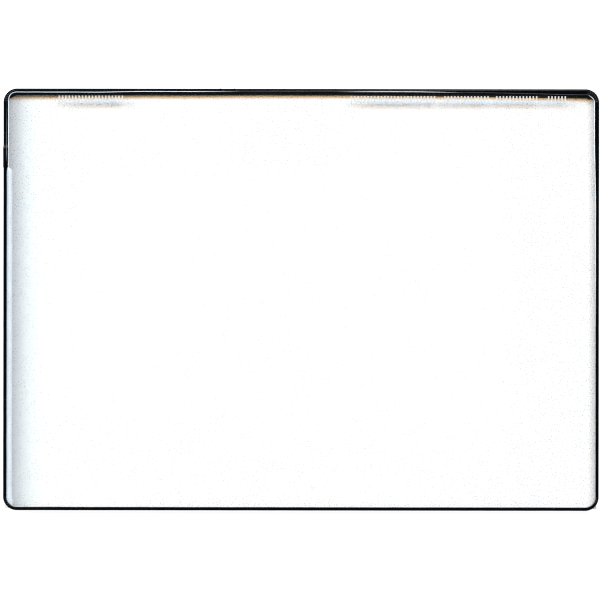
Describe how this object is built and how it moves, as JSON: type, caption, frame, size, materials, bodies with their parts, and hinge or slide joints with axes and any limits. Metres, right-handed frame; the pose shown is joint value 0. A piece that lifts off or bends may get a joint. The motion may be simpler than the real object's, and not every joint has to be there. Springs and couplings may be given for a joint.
{
  "type": "laminated glass camera filter",
  "caption": "Rectangular laminated glass soft-effect filter for a matte box tray, with rounded corners and a black tape-bound edge.",
  "frame": {"origin": "under the middle of the filter, level with its lowest point, the underside of the tape's lap", "axes": "+Z through the thickness towards the front glass, +X along the long side, +Y towards the marked long edge"},
  "size_m": [0.1436, 0.1016, 0.0043],
  "materials": {
    "clear_glass": "polished, uncoated water-white optical glass",
    "optical_cement": "clear optical cement",
    "speckled_film": "clear film with a fine scatter of dark specks",
    "lenslet_film": "clear film with low round lenslets",
    "black_tape": "black semi-gloss edge tape, folded over both faces"
  },
  "bodies": {
    "root": {"front_glass": "clear_glass", "front_cement": "optical_cement", "speckled_film": "speckled_film", "middle_cement": "optical_cement", "lenslet_film": "lenslet_film", "rear_cement": "optical_cement", "rear_glass": "clear_glass", "edge_tape": "black_tape"}
  },
  "joints": []
}
